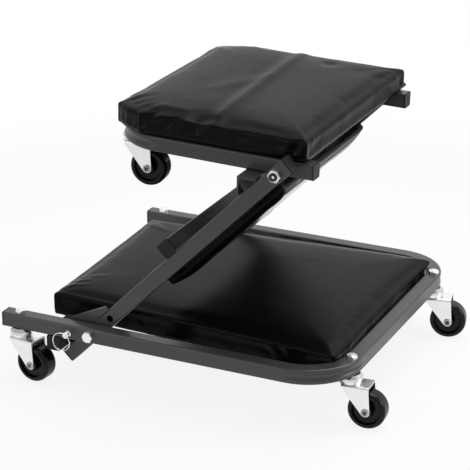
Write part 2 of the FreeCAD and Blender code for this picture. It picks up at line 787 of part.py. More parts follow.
def seat_nodes():
    frame = bent_frame(seat_tail + seat_reach, 2 * seat_half)
    frame = moved(turned(frame, Z_AXIS, 180), x=seat_tail)
    frame = drill(frame, 0, 0, pivot_bolt_radius, seat_half)
    for name, carrier, x, y, yaw in casters:
        if carrier == "seat":
            frame = drill_down(frame, x, y, stem_radius, half)
    screws_at = [(x, sign * (seat_rail_y - seat_screw_inset))
                 for x in (-seat_screw_front, -seat_screw_back) for sign in (-1, 1)]
    length = tube + screw_bite
    frame = screw_holes(frame, screws_at, -half, length)
    caps = [moved(turned(end_cap(), Z_AXIS, 180), seat_tail, sign * seat_rail_y, 0)
            for sign in (-1, 1)]

    sheet = stop_angle_sheet
    section = [(0, 0), (stop_angle_leg, 0), (stop_angle_leg, -sheet), (sheet, -sheet),
               (sheet, -stop_angle_leg), (0, -stop_angle_leg)]
    corners = [point(stop_angle_x + x, -link_outer, z - half) for x, z in section]
    iron = Part.Face(Part.makePolygon(corners + corners[:1])).extrude(point(0, 2 * link_outer, 0))

    board, cushion = pad(seat_pad, half, seat_pad_height)
    board = screw_holes(board, screws_at, -half, length)
    pocket_radius = caster_nut_flats / math.sqrt(3) + nut_pocket_gap
    pocket_height = caster_nut_height + stem_end + nut_pocket_gap
    for name, carrier, x, y, yaw in casters:
        if carrier == "seat":
            pocket = Part.makeCylinder(pocket_radius, pocket_height + over,
                                       point(x, y, half - over))
            board = board.cut(pocket)
            cushion = cushion.cut(pocket)
    screws = [screw(x, y, -half, length) for x, y in screws_at]
    steel, nylon = pivot_nut(-link_outer - rest_gap, -1)
    nodes = {
        "seat_frame": [frame],
        "seat_rail_caps": caps,
        "seat_stop_angle": [iron],
        "seat_board": [board],
        "seat_cushion": [cushion],
        "seat_board_screws": screws,
        "seat_pivot_bolts": both_sides(pivot_bolt(tube - seat_half, -link_outer - rest_gap)),
        "seat_pivot_spacers": both_sides(disc(pivot_spacer_radius, -link_inner, pivot_spacer)),
        "seat_pivot_nuts": both_sides(steel),
        "seat_pivot_nylon_rings": both_sides(nylon),
    }
    nodes = {name: [on_seat(solid) for solid in solids] for name, solids in nodes.items()}
    nodes.update(caster_nodes("seat"))
    return nodes


nodes = {}
for group in (base_nodes(), lock_nodes(), link_nodes(), seat_nodes()):
    nodes.update(group)

# The finished part stands on the floor with the middle of its length over the origin
whole = FreeCAD.BoundBox()
for solids in nodes.values():
    for solid in solids:
        whole.add(solid.optimalBoundingBox())
shift_x = -(whole.XMin + whole.XMax) / 2
shift_z = half + wheel_drop + wheel_radius

os.makedirs("parts", exist_ok=True)
for name, solids in nodes.items():
    placed = [moved(solid, x=shift_x, z=shift_z) for solid in solids]
    shape = placed[0] if len(placed) == 1 else Part.makeCompound(placed)
    shape.exportStep("parts/" + name + ".step")
print(len(nodes), "nodes, shift", shift_x, shift_z)
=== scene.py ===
import json
import math

import bpy
import numpy as np
from mathutils import Matrix, Vector
from mathutils.bvhtree import BVHTree
from mathutils.kdtree import KDTree


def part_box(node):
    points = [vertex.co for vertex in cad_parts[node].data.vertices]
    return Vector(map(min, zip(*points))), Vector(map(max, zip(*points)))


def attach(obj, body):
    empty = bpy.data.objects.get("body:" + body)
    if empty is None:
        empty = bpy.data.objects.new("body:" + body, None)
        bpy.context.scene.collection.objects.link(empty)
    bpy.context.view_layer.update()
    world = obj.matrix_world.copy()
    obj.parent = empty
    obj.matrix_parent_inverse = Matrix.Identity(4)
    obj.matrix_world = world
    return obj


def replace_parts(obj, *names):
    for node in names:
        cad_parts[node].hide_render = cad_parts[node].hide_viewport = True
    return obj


# A folding creeper seat: satin grey square tube, black vinyl pads and bright zinc casters.
# Lengths are in metres and places are those of the solids: the floor is at z = 0 and X runs
# along the rails.
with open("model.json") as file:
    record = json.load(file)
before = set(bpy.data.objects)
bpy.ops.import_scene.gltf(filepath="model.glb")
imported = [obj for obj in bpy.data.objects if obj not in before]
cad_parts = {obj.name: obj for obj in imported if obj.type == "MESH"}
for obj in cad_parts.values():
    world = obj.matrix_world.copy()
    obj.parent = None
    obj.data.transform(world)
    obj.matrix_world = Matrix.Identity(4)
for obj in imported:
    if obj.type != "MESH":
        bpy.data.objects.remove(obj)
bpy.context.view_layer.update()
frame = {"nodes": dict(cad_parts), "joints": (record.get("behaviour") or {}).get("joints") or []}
nodes = frame["nodes"]
joints = {joint["name"]: joint for joint in frame["joints"]}

mm = 0.001
y_axis = (0.0, 1.0, 0.0)

# Camera, fitted to the photograph's frame of 470 x 470 pixels
frame_pixels = 470
focal_pixels = 1909.8
sensor_width = 36.0
camera_azimuth = math.radians(25.19)
camera_elevation = math.radians(21.62)
camera_place = Vector((0.99385, -2.15820, 1.10697))

# Tube size, link angle and pivots, as the solids have them
tube = 20 * mm
half = tube / 2
link_angle = math.radians(45)
base_pivot = Vector(joints["base_fold"]["pos_m"])
seat_pivot = Vector(joints["seat_fold"]["pos_m"])
seat_up = Vector(joints["seat_near_turn"]["axis"])
seat_tilt = math.atan2(seat_up.x, seat_up.z)

# Own axes of each padded board: base, links turned upside down, seat
base_axes = Matrix.Translation(base_pivot)
link_axes = base_axes @ Matrix.Rotation(-link_angle, 4, "Y")
middle_axes = link_axes @ Matrix.Rotation(math.pi, 4, "X")
seat_axes = Matrix.Translation(seat_pivot) @ Matrix.Rotation(seat_tilt, 4, "Y")

chance = np.random.RandomState(7)


class Value:
    """A shader value. Arithmetic on it adds Math nodes to its finish."""

    def __init__(self, finish, socket):
        self.finish = finish
        self.socket = socket

    def math(self, operation, other):
        return self.finish.node("Math", {0: self, 1: other}, operation=operation)

    def __add__(self, other):
        return self.math("ADD", other)

    def __sub__(self, other):
        return self.math("SUBTRACT", other)

    def __rsub__(self, other):
        return self.finish.node("Math", {0: other, 1: self}, operation="SUBTRACT")

    def __mul__(self, other):
        return self.math("MULTIPLY", other)

    __radd__ = __add__
    __rmul__ = __mul__

    def smooth(self, low, high):
        """0 below low, 1 above high and a soft step between them."""
        inputs = {"Value": self, "From Min": low, "From Max": high}
        return self.finish.node("MapRange", inputs, interpolation_type="SMOOTHSTEP")


class Finish:
    """One material, or the world, and the nodes that make it."""

    def __init__(self, name, kind=bpy.data.materials):
        self.material = kind.new(name)
        self.material.use_nodes = True
        self.tree = self.material.node_tree
        self.tree.nodes.clear()
        self.place = self.node("TexCoord", {}, output="Object")

    def node(self, kind, inputs, output=0, **settings):
        """Adds a node: its settings first, then values or links of its sockets."""
        node = self.tree.nodes.new("ShaderNode" + kind)
        for name, value in settings.items():
            setattr(node, name, value)
        for name, value in inputs.items():
            if isinstance(value, Value):
                self.tree.links.new(value.socket, node.inputs[name])
            else:
                node.inputs[name].default_value = value
        return Value(self, node.outputs[output] if node.outputs else None)

    def stretched(self, scale):
        return self.node("Mapping", {"Vector": self.place, "Scale": scale})

    def ray(self, kind):
        """1 where a ray of this kind meets the surface, or the world, and 0 for the others."""
        return self.node("LightPath", {}, output="Is " + kind + " Ray")

    def noise(self, scale, detail=3.0, roughness=0.55, place=None):
        inputs = {"Vector": place or self.place, "Scale": scale, "Detail": detail,
                  "Roughness": roughness}
        return self.node("TexNoise", inputs, output="Fac")

    def blend(self, factor, first, second):
        """Colour between two colours."""
        inputs = {"Factor": factor, 6: first, 7: second}
        return self.node("Mix", inputs, output=2, data_type="RGBA")

    def bump(self, height, distance, strength, under=None):
        inputs = {"Height": height, "Distance": distance, "Strength": strength}
        if under:
            inputs["Normal"] = under
        return self.node("Bump", inputs)

    def surface(self, inputs):
        """Ends the material in one Principled surface."""
        shader = self.node("BsdfPrincipled", inputs)
        self.node("OutputMaterial", {"Surface": shader})
        return self.material


def rgb(red, green, blue):
    return (red, green, blue, 1)


def grey(level):
    return rgb(level, level, level)


def painted_steel(name, colour, sheen):
    """Satin powder coat: faint orange peel, dust in places and paler scuffs."""
    finish = Finish(name)
    peel = finish.noise(900.0, 2.0)
    waves = finish.noise(160.0, 2.0)
    cloud = finish.noise(14.0, 4.0)
    scuff = finish.noise(38.0, 6.0, 0.7).smooth(0.64, 0.74)
    lighter = tuple(1.22 * channel for channel in colour)
    darker = tuple(0.86 * channel for channel in colour)
    base = finish.blend(cloud, rgb(*darker), rgb(*lighter))
    base = finish.blend(scuff * 0.25, base, rgb(*(2.0 * channel for channel in colour)))
    normal = finish.bump(peel * 0.5 + waves, 0.12 * mm, 0.35)
    return finish.surface({"Base Color": base, "Roughness": cloud * 0.10 + sheen + scuff * 0.08,
                           "Normal": normal, "Specular IOR Level": 0.5})


def zinc_plate(name, light, rough=0.18):
    """Zinc or bare steel: fine rolling lines, soft cloudy patches and small dull spots."""
    finish = Finish(name)
    lines = finish.noise(60.0, 5.0, 0.6, finish.stretched((1.0, 1.0, 14.0)))
    cloud = finish.noise(55.0, 4.0, 0.6)
    spots = finish.noise(420.0, 2.0).smooth(0.66, 0.74)
    base = finish.blend(cloud, grey(0.84 * light), grey(light))
    base = finish.blend(spots * 0.5, base, grey(0.6 * light))
    return finish.surface({"Base Color": base, "Metallic": 1.0,
                           "Roughness": lines * 0.12 + cloud * 0.10 + rough + spots * 0.15,
                           "Normal": finish.bump(lines, 0.05 * mm, 0.3)})


def bright_steel():
    """Polished wire and pins, with hair-fine scratches."""
    finish = Finish("bright_steel_finish")
    scratches = finish.noise(900.0, 3.0, 0.6, finish.stretched((1.0, 6.0, 1.0)))
    base = finish.blend(scratches, rgb(0.80, 0.80, 0.79), rgb(0.95, 0.95, 0.94))
    return finish.surface({"Base Color": base, "Metallic": 1.0, "Roughness": scratches * 0.12 + 0.10,
                           "Normal": finish.bump(scratches, 0.02 * mm, 0.2)})


def black_vinyl():
    """Black vinyl: a fine pebbled grain and soft creases, with a shine where it is seen edge on."""
    finish = Finish("vinyl_cover_finish")
    cells = finish.node("TexVoronoi", {"Vector": finish.place, "Scale": 1100.0, "Randomness": 1.0},
                        output="Distance")
    fine = finish.noise(2200.0, 2.0)
    crease = finish.noise(230.0, 4.0, 0.6)
    cloud = finish.noise(9.0, 3.0)
    worn = finish.noise(30.0, 5.0, 0.65).smooth(0.55, 0.75)
    base = finish.blend(cloud, rgb(0.0026, 0.0026, 0.0021), rgb(0.0042, 0.0042, 0.0033))
    base = finish.blend(worn * 0.5, base, rgb(0.0066, 0.0066, 0.0054))
    grain = finish.bump(cells * 0.7 + fine * 0.3, 0.09 * mm, 0.35)
    normal = finish.bump(crease, 0.20 * mm, 0.30, grain)
    edge_on = finish.node("LayerWeight", {"Blend": 0.5}, output="Facing").smooth(0.88, 0.99)
    return finish.surface({"Base Color": base, "Roughness": cloud * 0.08 + worn * 0.07 + 0.28,
                           "Normal": normal, "Specular IOR Level": 0.07,
                           "Coat Weight": edge_on * 0.9, "Coat Roughness": 0.12})


def plywood():
    """Pale rotary-cut face veneer with long grain along X."""
    finish = Finish("plywood_finish")
    along = finish.stretched((3.0, 26.0, 26.0))
    rings = finish.noise(3.0, 3.0, 0.5, along)
    grain = finish.node("TexWave", {"Vector": along, "Scale": 1.2, "Distortion": 7.0, "Detail": 3.0},
                        output="Fac", bands_direction="Y")
    pores = finish.noise(60.0, 3.0, 0.6, finish.stretched((1.0, 22.0, 22.0))).smooth(0.58, 0.70)
    base = finish.blend(grain * 0.6 + rings * 0.4, rgb(0.50, 0.36, 0.21), rgb(0.36, 0.24, 0.125))
    base = finish.blend(pores * 0.45, base, rgb(0.20, 0.125, 0.06))
    return finish.surface({"Base Color": base, "Roughness": 0.72 - grain * 0.08,
                           "Normal": finish.bump(grain * 0.5 + pores, 0.10 * mm, 0.4),
                           "Specular IOR Level": 0.35})


def moulded_black(name, colour, low, high, grain, shine):
    """Moulded plastic: nearly black, with a flow pattern and a light spark-eroded grain."""
    finish = Finish(name)
    flow = finish.noise(24.0, 4.0)
    fine = finish.noise(1500.0, 2.0)
    scuff = finish.noise(110.0, 5.0, 0.7).smooth(0.60, 0.72)
    paler = tuple(1.7 * channel for channel in colour)
    base = finish.blend(flow, rgb(*colour), rgb(*paler))
    base = finish.blend(scuff * 0.3, base, rgb(*(3.0 * channel for channel in colour)))
    return finish.surface({"Base Color": base, "Roughness": flow * (high - low) + scuff * 0.10 + low,
                           "Normal": finish.bump(fine, 0.06 * mm, grain),
                           "Specular IOR Level": shine})


# How much of the shaded paper the camera sees in the white floor by the object
shadow_share = 0.13


def studio_floor():
    """Paper that the camera sees as white, with the object's shadow, and that metal shows as pale.
    Away from the object it throws little light back."""
    finish = Finish("floor_finish")
    away = finish.node("VectorMath", {0: finish.place}, output="Value", operation="LENGTH")
    near = 1 - away.smooth(0.50, 1.15)
    haze = finish.noise(2.0, 2.0)
    paper = finish.blend(haze, grey(0.90), grey(0.92))
    colour = finish.blend(near, grey(0.10), paper)
    matte = finish.node("BsdfPrincipled", {"Base Color": colour, "Roughness": 0.9,
                                           "Specular IOR Level": 0.1})
    white = finish.node("Emission", {"Color": grey(1), "Strength": 1.0})
    mirrored = (finish.ray("Glossy") + finish.ray("Transmission")) * 0.75
    shown = finish.ray("Camera") * (1 - near * shadow_share) + mirrored
    mixed = finish.node("MixShader", {0: shown, 1: matte, 2: white})
    finish.node("OutputMaterial", {"Surface": mixed})
    return finish.material


paint = painted_steel("frame_paint_finish", (0.044, 0.044, 0.045), 0.24)
# The seat's paint is the frame's paint made darker: painted shade on the seat's frame, stop angle and
# welds.
shaded_seat_paint = painted_steel("seat_paint_finish", (0.034, 0.034, 0.035), 0.26)
# The link beads' paint is the frame's paint made paler and glossier: the paler colour is a painted
# highlight on the weld ripples.
highlit_bead_paint = painted_steel("bead_paint_finish", (0.075, 0.075, 0.077), 0.08)
zinc = zinc_plate("zinc_plate_finish", 0.96)
dull_zinc = zinc_plate("dull_zinc_finish", 0.50)
race_zinc = zinc_plate("race_zinc_finish", 0.72, 0.02)
dark_steel = zinc_plate("dark_steel_finish", 0.05)
bright = bright_steel()
vinyl = black_vinyl()
wood = plywood()
cap_black = moulded_black("black_cap_finish", (0.0065, 0.0065, 0.0048), 0.40, 0.52, 0.5, 0.22)
wheel_black = moulded_black("wheel_black_finish", (0.0026, 0.0026, 0.0024), 0.16, 0.24, 0.10, 0.20)
nylon_black = moulded_black("nylon_finish", (0.006, 0.006, 0.007), 0.30, 0.40, 0.2, 0.3)


def piece(name, mesh, material, body, axes=None):
    """A new object from a mesh in the given axes, that rides on a body."""
    if axes:
        mesh.transform(axes)
    thing = bpy.data.objects.new(name, mesh)
    bpy.context.scene.collection.objects.link(thing)
    mesh.materials.clear()
    mesh.materials.append(material)
    mesh.polygons.foreach_set("use_smooth", [True] * len(mesh.polygons))
    mesh.update()
    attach(thing, body)
    return thing


def mesh_of(name, points, faces):
    mesh = bpy.data.meshes.new(name)
    mesh.from_pydata([tuple(place) for place in points], [], faces)
    mesh.update()
    return mesh


def joined(name, parts):
    """One mesh from several (points, faces) parts."""
    points, faces = [], []
    for part_points, part_faces in parts:
        start = len(points)
        points.extend(part_points)
        faces.extend([[start + index for index in face] for face in part_faces])
    return mesh_of(name, points, faces)


def ring_faces(rings, count, closed_ends=True):
    """Quads between rings of points of equal counts, and a face on each end."""
    faces = []
    for row in range(rings - 1):
        for step in range(count):
            after = (step + 1) % count
            faces.append([row * count + step, row * count + after,
                          (row + 1) * count + after, (row + 1) * count + step])
    if closed_ends:
        faces.append(list(reversed(range(count))))
        faces.append(list(range((rings - 1) * count, rings * count)))
    return faces


def swept(path, radii, up, sides=10):
    """Round section along a path, with its radius at every point of the path."""
    points = []
    last = len(path) - 1
    for index, (place, radius) in enumerate(zip(path, radii)):
        ahead = (path[min(index + 1, last)] - path[max(index - 1, 0)]).normalized()
        across = ahead.cross(up).normalized()
        over = across.cross(ahead).normalized()
        for step in range(sides):
            turn = 2 * math.pi * step / sides
            points.append(place + radius * (math.cos(turn) * across + math.sin(turn) * over))
    return points, ring_faces(len(path), sides)


# Padded boards

class Pad:
    """Sizes of one padded board on its own axes, with the board's underside at floor.

    halves are its half widths at the left and right ends. left, right and low_right say how much of
    a corner is cut away along the side and along the end, low_right for the lowest rows. left_bow
    rounds the left corners, and draw pulls in the middle of every side."""

    def __init__(self, name, body, axes, halves, left, right, low_right, left_bow, draw, fill,
                 wrinkle, profile):
        corners = [axes.inverted() @ vertex.co for vertex in nodes[name + "_cushion"].data.vertices]
        self.name = name
        self.body = body
        self.axes = axes
        self.x0 = min(corner.x for corner in corners)
        self.x1 = max(corner.x for corner in corners)
        widest = max(corner.y for corner in corners)
        self.half_left, self.half_right = halves or (widest, widest)
        self.floor = min(corner.z for corner in corners)
        self.height = max(corner.z for corner in corners) - self.floor
        self.left = left
        self.right = right
        self.low_right = low_right
        self.left_bow = left_bow
        self.draw = draw
        self.fill = fill
        self.wrinkle = wrinkle
        self.profile = [(up * mm, inset * mm) for up, inset in profile]


# Cut foam from the underside up: height over the board's underside and inset from the outline, in mm.
# The edge row is the pulled edge of the top.
flat_foam = (
    (0.7, 1.8), (1.6, 1.0), (5.0, 0.3), (12.0, 0.0), (16.5, 0.0), (20.0, 0.0), (23.6, 0.3),
    (25.2, 1.0), (26.1, 2.3), (26.7, 4.4), (27.4, 9.0), (28.4, 18.0), (29.8, 34.0), (30.8, 55.0),
    (31.4, 80.0),
)
level_foam = flat_foam[:10] + ((27.0, 9.0), (27.2, 18.0), (27.4, 34.0), (27.5, 55.0), (27.6, 80.0))
thick_foam = (
    (0.7, 3.2), (1.6, 2.2), (5.0, 0.8), (12.0, 0.0), (16.5, 0.0), (20.0, 0.0), (24.4, 0.5),
    (26.6, 1.6), (28.0, 3.4), (28.9, 6.0), (29.9, 11.0), (31.1, 20.0), (32.5, 36.0), (33.6, 56.0),
    (34.0, 78.0),
)
edge_row = 8
low_rows_end = 18 * mm
# How far a corner's curve bulges from its straight cut towards its tip: a round one and a cut one
round_bow_share = 0.414
cut_bow_share = 0.14
base_pad = Pad("base", "base", base_axes, (149 * mm, 175 * mm), (4 * mm, 4 * mm), (5 * mm, 5 * mm),
               (30 * mm, 30 * mm), round_bow_share, 1.5 * mm, 0.75, 0.004, flat_foam)
middle_pad = Pad("middle", "links", middle_axes, None, (4 * mm, 4 * mm), (4 * mm, 4 * mm),
                 (4 * mm, 4 * mm), round_bow_share, 1 * mm, 0.75, 0.003, level_foam)
seat_pad = Pad("seat", "seat", seat_axes, None, (44 * mm, 26 * mm), (3 * mm, 3 * mm),
               (4 * mm, 4 * mm), cut_bow_share, 0.5 * mm, 0.7, 0.004, thick_foam)


def pad_outline(pad, inset, low=False, side_steps=48, corner_steps=6):
    """Closed outline of a pad, drawn in by the inset, as (x, y) pairs; low is for its lowest rows."""
    shrink = 1 - inset / pad.half_right
    x0, x1 = pad.x0 + inset, pad.x1 - inset
    y0, y1 = pad.half_left - inset, pad.half_right - inset
    draw = pad.draw * shrink
    slope = (y1 - y0) / (x1 - x0)
    left_long, left_short = pad.left[0] * shrink, pad.left[1] * shrink
    right_long, right_short = [size * shrink for size in (pad.low_right if low else pad.right)]
    side_start = Vector((x0 + left_long, y0 + slope * left_long))
    side_end = Vector((x1 - right_long, y1 - slope * right_long))
    left_end = Vector((x0, y0 - left_short))
    right_end = Vector((x1, y1 - right_short))

    def bowed(start, end, tip, share, steps):
        middle = (start + end) / 2
        pull = middle + 2 * share * (tip - middle)
        shares = [step / steps for step in range(steps)]
        return [(1 - t) ** 2 * start + 2 * t * (1 - t) * pull + t ** 2 * end for t in shares]

    upper = bowed(left_end, side_start, Vector((x0, y0)), pad.left_bow, corner_steps)
    side_pull = (side_start + side_end) / 2 - Vector((0, 2 * draw))
    upper += bowed(side_start, side_end, side_pull, 0.5, side_steps)
    upper += bowed(side_end, right_end, Vector((x1, y1)), round_bow_share, corner_steps)
    end_pull = Vector((x1 - 2 * draw, 0))
    mirror = [Vector((place.x, -place.y)) for place in reversed(upper)]
    closing = bowed(right_end, Vector((x1, -right_end.y)), end_pull, 0.5, side_steps)
    back = bowed(Vector((x0, -left_end.y)), left_end, Vector((x0 + 2 * draw, 0)), 0.5, side_steps)
    return upper + closing + mirror + back


def foam_rows(pad):
    """Rings of points up the foam block."""
    rows = []
    for up, inset in pad.profile:
        height = pad.floor + min(up, pad.height - 2 * mm)
        rows.append([Vector((place.x, place.y, height))
                     for place in pad_outline(pad, inset, up < low_rows_end)])
    return rows


def pad_block(pad):
    """Closed form of the foam block, a little lower than the finished cushion."""
    rows = foam_rows(pad)
    points = [place for row in rows for place in row]
    return mesh_of(pad.name + "_block", points, ring_faces(len(rows), len(rows[0])))


def evaluated(thing):
    """The mesh of an object with its modifiers applied."""
    graph = bpy.context.evaluated_depsgraph_get()
    return bpy.data.meshes.new_from_object(thing.evaluated_get(graph))


def coordinates(mesh):
    flat = np.empty(3 * len(mesh.vertices))
    mesh.vertices.foreach_get("co", flat)
    return flat.reshape(-1, 3)


def set_coordinates(mesh, places):
    mesh.vertices.foreach_set("co", places.ravel())
    mesh.update()


# The cover's far left corner is pulled this far past the near one, over this length of the pad
far_corner_pull = 9 * mm
pulled_reach = 120 * mm
# The middle cover's far low corner is drawn in, so that it clears that corner when all lies flat
low_end_draw = 2.6 * mm
low_end_reach = 24 * mm
# The base cover hangs under the long sides of its board, from this far out and this far up
hem_sag = 6.2 * mm
sag_start = 132 * mm
sag_fade_in = 14 * mm
sag_top = 9 * mm
sag_fade_up = 6 * mm

voxel = 4 * mm
cloth_frames = 20
cloth_pressure = 4.0
most_swell = 3.5 * mm
edge_hold = 9 * mm
# Share of the height, from the underside up, that is stapled fast
held_share = 0.12
# Marks up each corner edge, for the distance to it
corner_marks = 10
corner_mark_gap = 3 * mm


def stretched_cover(pad):
    """Vinyl over foam: the block is remeshed and blown up as cloth, held along its underside."""
    block = pad_block(pad)
    surface = BVHTree.FromPolygons([vertex.co for vertex in block.vertices],
                                   [tuple(face.vertices) for face in block.polygons])
    thing = bpy.data.objects.new(pad.name + "_cloth", block)
    bpy.context.scene.collection.objects.link(thing)
    remesh = thing.modifiers.new("remesh", "REMESH")
    remesh.mode = "VOXEL"
    remesh.voxel_size = voxel
    thing.data = evaluated(thing)
    thing.modifiers.clear()
    for vertex in thing.data.vertices:
        vertex.co = surface.find_nearest(vertex.co)[0]
    blow_up(thing, pad)
    thing.modifiers.new("subdivision", "SUBSURF").levels = 1
    mesh = evaluated(thing)
    bpy.data.objects.remove(thing)
    return mesh


def edge_distance(pad, places):
    """Distance of each point to the pulled edge of the top and to the upright corner edges."""
    edge = foam_rows(pad)[edge_row]
    marks = list(edge)
    marks += [(place + beside) / 2 for place, beside in zip(edge, edge[1:] + edge[:1])]
    for x, y in ((pad.x0, pad.half_left), (pad.x1, pad.half_right)):
        for sign in (-1, 1):
            marks += [Vector((x, sign * y, pad.floor + step * corner_mark_gap))
                      for step in range(corner_marks)]
    tree = KDTree(len(marks))
    for index, mark in enumerate(marks):
        tree.insert(mark, index)
    tree.balance()
    return np.array([tree.find(place)[2] for place in places])


def blow_up(thing, pad):
    """Cloth simulation with pressure. The pulled edges stay crisp and no point moves too far."""
    start = coordinates(thing.data)
    held = thing.vertex_groups.new(name="held")
    low = np.nonzero(start[:, 2] < pad.floor + held_share * pad.height)[0]
    held.add([int(index) for index in low], 1.0, "REPLACE")
    cloth = thing.modifiers.new("cloth", "CLOTH")
    cloth.settings.quality = 5
    cloth.settings.mass = 0.3
    cloth.settings.tension_stiffness = 25
    cloth.settings.compression_stiffness = 25
    cloth.settings.shear_stiffness = 10
    cloth.settings.bending_stiffness = 0.6
    cloth.settings.shrink_min = -pad.wrinkle
    cloth.settings.use_pressure = True
    cloth.settings.uniform_pressure_force = cloth_pressure
    cloth.settings.effector_weights.gravity = 0
    cloth.settings.vertex_group_mass = "held"
    cloth.point_cache.frame_start = 1
    cloth.point_cache.frame_end = cloth_frames
    for step in range(1, cloth_frames + 1):
        bpy.context.scene.frame_set(step)
    puffed = coordinates(evaluated(thing))
    thing.modifiers.clear()
    bpy.context.scene.frame_set(1)
    move = puffed - start
    far = np.linalg.norm(move, axis=1)
    reach = most_swell * np.tanh(far / most_swell)
    free = 1 - np.exp(-(edge_distance(pad, start) / edge_hold) ** 2)
    scale = np.where(far > 1e-9, reach / np.maximum(far, 1e-9), 0) * free
    set_coordinates(thing.data, start + move * scale[:, None])


def along_line(places, start, end):
    """Share along a line on the pad, distance to its side and distance past its ends."""
    run = np.array(end, float) - np.array(start, float)
    length = np.linalg.norm(run)
    ahead = run / length
    offset = places[:, :2] - np.array(start)
    along = offset @ ahead
    aside = offset @ np.array((-ahead[1], ahead[0]))
    past = np.maximum(np.maximum(-along, along - length), 0)
    return along / length, aside, past


def on_top(places, pad):
    """1 on a pad's top, fading to 0 at the middle of its height."""
    return np.clip((places[:, 2] - pad.floor) / pad.height * 2.5 - 1.3, 0, 1)


def fold_top(places, pad, start, end, width, height, valley=0.0):
    """Raises a soft ridge on a pad's top, with a valley beside it."""
    share, aside, past = along_line(places, start, end)
    fade = np.exp(-(past / width) ** 2) * (0.75 + 0.25 * np.cos(math.pi * (share - 0.5)))
    shape = np.exp(-(aside / width) ** 2) * height
    shape -= np.exp(-((aside - 1.7 * width) / (1.3 * width)) ** 2) * valley
    places[:, 2] += shape * fade * on_top(places, pad)


def dent_top(places, pad, centre, radius, depth):
    """Sinks a round dip into a pad's top, or raises a hump where depth is below zero."""
    gap = np.linalg.norm(places[:, :2] - np.array(centre), axis=1)
    places[:, 2] -= depth * np.exp(-(gap / radius) ** 2) * on_top(places, pad)


# The faces round a pad: the axis that each looks along and the way it looks
near_face, far_face = (1, -1), (1, 1)
left_face, right_face = (0, -1), (0, 1)

# A fold beside a pad keeps its depth this far in from the face's furthest point, then fades
fold_hold = 5 * mm
fold_fade = 9 * mm
fold_half_height = 13 * mm


def press_folds(places, face, folds):
    """Pushes leaning folds into or out of a face. Each is its place along the face and its height,
    lean, width and depth, in mm but for the lean."""
    out, side = face
    for along, up, lean, width, depth in folds:
        rise = places[:, 2] - up * mm
        aside = places[:, 1 - out] - along * mm - lean * rise
        reach = side * places[:, out]
        beside = np.clip((reach - np.max(reach) + (fold_hold + fold_fade)) / fold_fade, 0, 1)
        fade = np.exp(-(rise / fold_half_height) ** 2)
        places[:, out] += side * (depth * mm) * np.exp(-(aside / (width * mm)) ** 2) * fade * beside


def crisp_corners(places, pad, corners, reach=4 * mm, sides=(-1, 1)):
    """Draws the cover beside its upright corners out to them, as over a sharp cut block of foam."""
    top = pad.profile[edge_row][0] + 1.2 * mm
    under_top = np.clip((top - (places[:, 2] - pad.floor)) / (2 * mm), 0, 1)
    for x, y in corners:
        for sign in sides:
            offset = np.array((x, sign * y)) - places[:, :2]
            gap = np.linalg.norm(offset, axis=1)
            share = np.clip(1 - gap / reach, 0, 1) * under_top
            places[:, :2] += offset * share[:, None]


def cushion(pad, shape_by_hand):
    """A pad's cover, blown up as cloth and then shaped."""
    mesh = stretched_cover(pad)
    places = coordinates(mesh)
    shape_by_hand(places, pad)
    set_coordinates(mesh, places)
    cover = piece(pad.name + "_cushion_cover", mesh, vinyl, pad.body, pad.axes)
    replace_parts(cover, pad.name + "_cushion")


def seat_folds(places, pad):
    """The ridge across the middle, the dip where it meets the near edge and the corner tucks."""
    cut_ends = [(pad.x0, pad.half_left - pad.left[1]), (pad.x0 + pad.left[0], pad.half_left)]
    crisp_corners(places, pad, [(pad.x1, pad.half_right)], 7 * mm)
    for sign in (-1, 1):
        dent_top(places, pad, (pad.x1 - 2 * mm, sign * (pad.half_right - 2 * mm)), 13 * mm, -2.6 * mm)
    crisp_corners(places, pad, cut_ends, 9 * mm, (-1,))
    fold_top(places, pad, (-97 * mm, -165 * mm), (-113 * mm, 150 * mm), 9 * mm, 2.2 * mm, 0.8 * mm)
    fold_top(places, pad, (-150 * mm, -60 * mm), (-110 * mm, 20 * mm), 12 * mm, 0.8 * mm)
    fold_top(places, pad, (-178 * mm, -150 * mm), (-120 * mm, -160 * mm), 12 * mm, 2.0 * mm)
    for x, y, radius, depth in ((-122, -160, 13, 5.0), (-75, -162, 26, 1.6), (-60, 115, 10, 2.0),
                                (-20, 105, 22, 1.0)):
        dent_top(places, pad, (x * mm, y * mm), radius * mm, depth * mm)
    press_folds(places, near_face, (
        (-184, 34, 0.9, 5, -3.0), (-170, 38, 1.1, 6, 2.8), (-152, 34, 0.9, 7, -2.6),
        (-138, 36, 0.7, 6, 1.8), (-124, 34, -0.6, 9, -3.0), (-104, 36, 0.6, 8, 1.8),
        (-62, 30, 0.8, 12, -1.2), (2, 30, 0.5, 6, 1.6), (12, 26, 0.4, 5, -1.6)))
    press_folds(places, far_face, (
        (-170, 32, -0.7, 8, 1.4), (-140, 30, 0.6, 10, -1.4), (-60, 32, 0.5, 10, -1.2),
        (0, 30, -0.5, 8, 1.2)))
    press_folds(places, right_face, (
        (-146, 30, 0.4, 6, 0.6), (-120, 30, 0.6, 9, -0.5), (-40, 32, -0.4, 14, 0.5),
        (60, 30, 0.5, 12, -0.5), (140, 30, -0.5, 7, 0.6)))
    press_folds(places, left_face, (
        (-110, 30, 0.6, 9, 1.4), (-70, 30, -0.4, 12, -1.0), (80, 30, 0.4, 10, -1.2),
        (120, 30, -0.6, 8, 1.5)))


